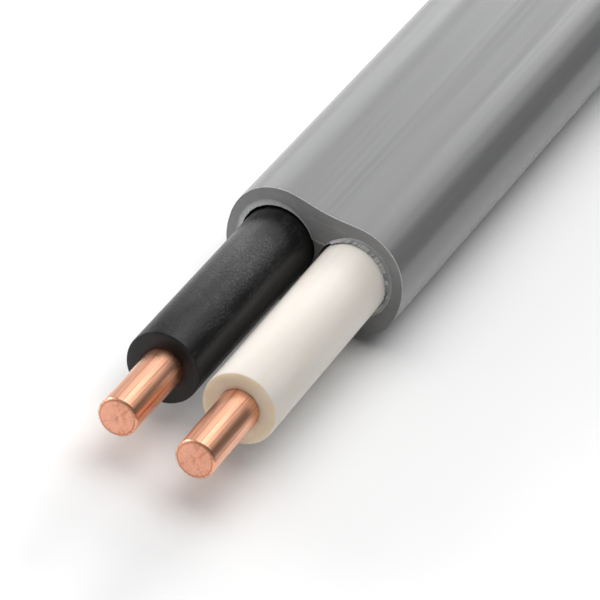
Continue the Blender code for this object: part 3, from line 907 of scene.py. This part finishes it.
def strap_path(low, high, corner, spacing):
    """Points and outward directions of a round-cornered rectangle, in radius and height, anticlockwise."""
    middles = [(high[0] - corner, high[1] - corner), (low[0] + corner, high[1] - corner)]
    middles += [(low[0] + corner, low[1] + corner), (high[0] - corner, low[1] + corner)]
    path = []
    for quarter, middle in enumerate(middles):
        for turn in np.linspace(quarter, quarter + 1, 9) * math.pi / 2:
            out = Vector((math.cos(turn), math.sin(turn)))
            path.append((Vector(middle) + out * corner, out))
        start, out = path[-1]
        following = Vector(middles[(quarter + 1) % 4]) + out * corner
        count = round((following - start).length / spacing)
        path += [(start.lerp(following, i / count), out) for i in range(1, count)]
    return path


def strap_section():
    """Side and out coordinates of the strap: a shallow channel outside, and the rack's channel inside."""
    half, t, edge, rail = TIE_WIDTH / 2, TIE_THICKNESS, 0.15 * MM, 0.6 * MM
    rack, shallow = RACK_WIDTH / 2 + 0.05 * MM, 0.1 * MM
    right = [(rack, RACK_DEPTH), (rack + 0.05 * MM, 0), (half - edge, 0), (half, edge), (half, t - edge)]
    right += [(half - edge, t), (half - rail, t), (half - rail - shallow, t - shallow)]
    return right + [(-side, out) for side, out in reversed(right)]


def rack_tree():
    """Sets a wedge-shaped tooth on each point. The points carry the strap's outward direction and its run."""
    nodes, given = new_tree(
        "tie_rack",
        {"Tooth Width": "Float", "Tooth Pitch": "Float", "Tooth Height": "Float", "Material": "Material"},
    )
    length = nodes.math("MULTIPLY", given["Tooth Pitch"], 0.8)
    size = nodes.join(given["Tooth Width"], length, given["Tooth Height"])
    block = nodes.add("GeometryNodeMeshCube", {"Size": size})
    height = nodes.split(nodes.add("GeometryNodeInputPosition"))[2]
    slant = nodes.math("MULTIPLY", nodes.math("DIVIDE", height, given["Tooth Height"]), given["Tooth Pitch"])
    lean = nodes.join(0.0, nodes.math("MULTIPLY", slant, 0.3), 0.0)
    tooth = nodes.add("GeometryNodeSetPosition", {"Geometry": block, "Offset": lean})
    turned = nodes.add(
        "FunctionNodeAxesToRotation",
        {0: nodes.named("out", "FLOAT_VECTOR"), 1: nodes.named("run", "FLOAT_VECTOR")},
        primary_axis="Z", secondary_axis="Y",
    )
    spots = nodes.add("GeometryNodeMeshToPoints", {"Mesh": given["Geometry"]})
    rack = nodes.add("GeometryNodeInstanceOnPoints", {"Points": spots, "Instance": tooth, "Rotation": turned})
    return nodes.finish(rack, given["Material"])


def rounded_block(name, outline, half, edge, place, material):
    """A block with a side view in radius and height, extruded over its width, with its edges rounded."""
    count = len(outline)
    points = [place(r, side, z) for side in (-half, half) for r, z in outline]
    faces = [tuple(range(count)), tuple(range(count, 2 * count))] + band(0, count, count)
    item = new_piece(name, points, faces, [material])
    face_outwards(item, edge)
    return item


def absorb(item, others):
    """Joins other pieces' meshes into one and removes those pieces."""
    work = bmesh.new()
    for part in [item] + others:
        work.from_mesh(part.data)
    work.to_mesh(item.data)
    work.free()
    for part in others:
        bpy.data.objects.remove(part)


def make_tie(number, degrees, rack, nylon):
    """A cable tie: a strap with its rack round the winding, a head with its slot and pawl, and a cut tail."""
    turned = math.radians(degrees)
    radial = Vector((math.cos(turned), math.sin(turned), 0))
    sideways = Vector((-math.sin(turned), math.cos(turned), 0))

    def place(r, side, z):
        return COIL_CENTRE + radial * r + sideways * side + Vector((0, 0, z))

    low = (INNER_RADIUS - TIE_CLEARANCE, TIE_LIFT - TIE_CLEARANCE)
    high = (OUTER_RADIUS + TIE_CLEARANCE, COIL_HEIGHT + TIE_CLEARANCE)
    path = strap_path(low, high, TIE_CORNER, TOOTH_PITCH)
    section = strap_section()
    count = len(section)
    points = [place(p.x + out.x * o, side, p.y + out.y * o) for p, out in path for side, o in section]
    faces = []
    for i in range(len(path)):
        faces += band(i * count, (i + 1) % len(path) * count, count)
    tie = new_piece(f"coil_tie_at_{degrees:.0f}", points, faces, [nylon])

    roots = [place(p.x + out.x * RACK_DEPTH / 2, 0, p.y + out.y * RACK_DEPTH / 2) for p, out in path]
    teeth = new_piece("rack", roots, [], [])
    outs = [radial * out.x + Vector((0, 0, out.y)) for p, out in path]
    store(teeth, "out", outs, "FLOAT_VECTOR")
    store(teeth, "run", [sideways.cross(out) for out in outs], "FLOAT_VECTOR")
    tooth_values = {"Tooth Width": RACK_WIDTH, "Tooth Pitch": TOOTH_PITCH, "Tooth Height": RACK_DEPTH * 0.9}
    grow(teeth, rack, {**tooth_values, "Material": nylon})

    middle, start, top = COIL_HEIGHT / 2, HEAD_START, HEAD_START + HEAD_THICKNESS
    low_end, high_end = middle - HEAD_LENGTH / 2, middle + HEAD_LENGTH / 2
    outline = [(start, low_end), (start + 2.2 * MM, low_end), (top - 0.9 * MM, low_end + 1.3 * MM)]
    outline += [(top, low_end + 2.2 * MM), (top, high_end - 0.7 * MM)]
    outline += [(top - 0.8 * MM, high_end), (start, high_end)]
    head = rounded_block("head", outline, HEAD_WIDTH / 2, HEAD_ROUNDING, place, nylon)

    def upright(name, near, far, bottom, height, width, edge=0.0):
        corners = [(near, bottom), (far, bottom), (far, bottom + height), (near, bottom + height)]
        return rounded_block(name, corners, width / 2, edge, place, nylon)

    foot = middle - TIE_THICKNESS / 2
    slot = upright("slot", top - SLOT_DEPTH, top + 2 * MM, foot - 0.2 * MM, SLOT_HEIGHT, SLOT_WIDTH)
    cut = head.modifiers.new("slot", "BOOLEAN")
    cut.object = slot
    bake(head)
    bpy.data.objects.remove(slot)
    tail_end, pawl_start, pawl_end = top + TAIL_SHOWN, top - SLOT_DEPTH - 0.3 * MM, top - 0.9 * MM
    tail = upright("tail", start + TIE_THICKNESS, tail_end, foot, TIE_THICKNESS, TIE_WIDTH, TAIL_ROUNDING)
    pawl_foot = foot + TIE_THICKNESS + 0.12 * MM
    pawl = upright("pawl", pawl_start, pawl_end, pawl_foot, PAWL_HEIGHT, RACK_WIDTH, PAWL_ROUNDING)
    absorb(tie, [teeth, head, tail, pawl])
    finish_piece(tie, "tie", f"coil_tie_{number}", sharp=35.0)


def aim(item, place, target, roll=0.0):
    """Puts a camera or light at a place, looking at the target, with its top up."""
    back = (place - target).normalized()
    right = Vector((0, 0, 1)).cross(back).normalized()
    up = back.cross(right)
    turned_right = right * math.cos(roll) + up * math.sin(roll)
    turned_up = up * math.cos(roll) - right * math.sin(roll)
    turned = Matrix((turned_right, turned_up, back)).transposed()
    item.matrix_world = Matrix.Translation(place) @ turned.to_4x4()


def make_camera():
    data = bpy.data.cameras.new("camera")
    data.angle = CAMERA_VIEW
    data.clip_start = 10 * MM
    data.clip_end = 50.0
    item = new_object("camera", data)
    a, e = CAMERA_AZIMUTH, CAMERA_ELEVATION
    back = Vector((math.sin(a) * math.cos(e), -math.cos(a) * math.cos(e), math.sin(e)))
    target = FACE + AIM_FROM_FACE
    aim(item, target + back * CAMERA_DISTANCE, target, CAMERA_ROLL)
    bpy.context.scene.camera = item


def make_softbox(name, place, size, power):
    data = bpy.data.lights.new(name, "AREA")
    data.shape = "RECTANGLE"
    data.size, data.size_y = size
    data.energy = power
    item = new_object(name, data)
    item.visible_camera = False
    aim(item, FACE + place, FACE)


def make_room():
    points = [(-8, -8, 0), (8, -8, 0), (8, 8, 0), (-8, 8, 0)]
    floor = new_piece("floor", points, [(0, 1, 2, 3)], [floor_material()])
    world = bpy.data.worlds.new("studio")
    world.use_nodes = True
    backdrop = world.node_tree.nodes["Background"]
    backdrop.inputs["Color"].default_value = (1, 1, 1, 1)
    backdrop.inputs["Strength"].default_value = STUDIO_GLOW
    bpy.context.scene.world = world
    bpy.context.scene.view_settings.view_transform = "Standard"
    for name, (azimuth, elevation, width, height, power) in LIGHTS.items():
        a, e = math.radians(azimuth), math.radians(elevation)
        away = Vector((math.sin(a) * math.cos(e), math.cos(a) * math.cos(e), math.sin(e)))
        make_softbox(name, away * LIGHT_DISTANCE, (width, height), power)


def main():
    make_camera()
    skins = {
        "sheath": (sheath_material(), sheath_cut_material()),
        "black": (black_material(), black_cut_material()),
        "white": (
            white_material("white_insulation_skin", rgb(0.82, 0.765, 0.70), rgb(0.875, 0.825, 0.765), 0.42),
            white_material("white_insulation_cut", rgb(0.95, 0.79, 0.59), rgb(0.98, 0.87, 0.71), 0.6),
        ),
        "copper": (copper_material(), copper_cut_material()),
    }

    sheath = make_free_end(*skins["sheath"])
    lead_depth = BORE_DEPTH - 0.4 * MM
    leads = []
    for colour, (at_face, at_end, tube_end, tip) in STRIPPED.items():
        axis = (at_face, [(end - face) / tube_end for face, end in zip(at_face, at_end)])
        slot = f"{colour}_insulation"
        tube = make_insulation(
            f"{colour}_tube", free_place, axis, tube_end, lead_depth, skins[colour], slot, slot
        )
        wire = make_conductor(
            f"wire_in_{colour}", free_place, axis, tip, lead_depth, skins["copper"], f"copper_in_{colour}"
        )
        leads += [tube, wire]
    line = [Vector((FACE.x, FACE.y + a, free_height(a))) for a in np.linspace(0, FREE_LENGTH, 40)]

    wound = make_winding(skins["sheath"][0])
    make_inner_end(wound, skins)
    rack, nylon = rack_tree(), nylon_material()
    for number, degrees in enumerate(TIE_DEGREES, 1):
        make_tie(number, degrees, rack, nylon)
    make_room()


main()
